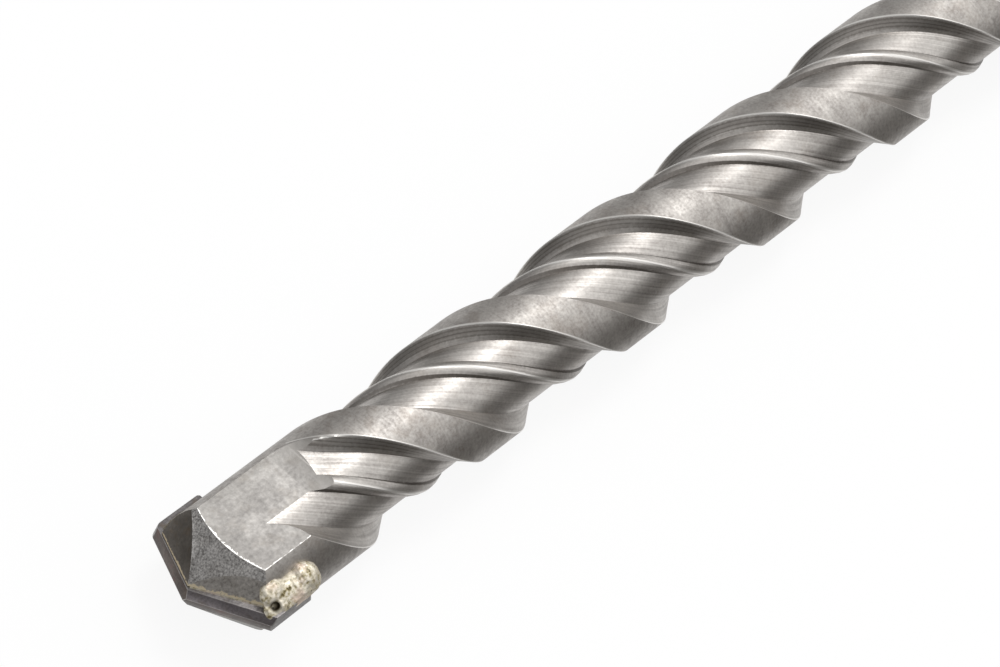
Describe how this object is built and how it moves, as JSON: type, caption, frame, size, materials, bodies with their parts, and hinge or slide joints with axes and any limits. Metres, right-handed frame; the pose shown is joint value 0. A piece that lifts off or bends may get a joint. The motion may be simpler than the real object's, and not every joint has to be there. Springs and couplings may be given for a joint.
{
  "type": "masonry drill bit",
  "caption": "Masonry drill bit with a slotted hammer-drill shank, a plain collar, two-start right-hand flutes and a brazed hard-metal plate across its roof-shaped head.",
  "frame": {"origin": "centre of the shank's flat end face, which the hammer strikes", "axes": "+X along the bit's axis from the shank to the point, +Z square to the two flats of the head, +Y nearly along the width of the hard-metal plate"},
  "size_m": [0.21, 0.0164, 0.0136],
  "materials": {
    "tool_steel": "shot-blasted satin grey, turned bright on the shank",
    "hard_metal": "ground grey hard metal with brown braze film",
    "braze": "pale dull gold, pitted"
  },
  "bodies": {
    "root": {"drill_body": "tool_steel", "carbide_tip": "hard_metal", "braze_joint": "braze"}
  },
  "joints": []
}
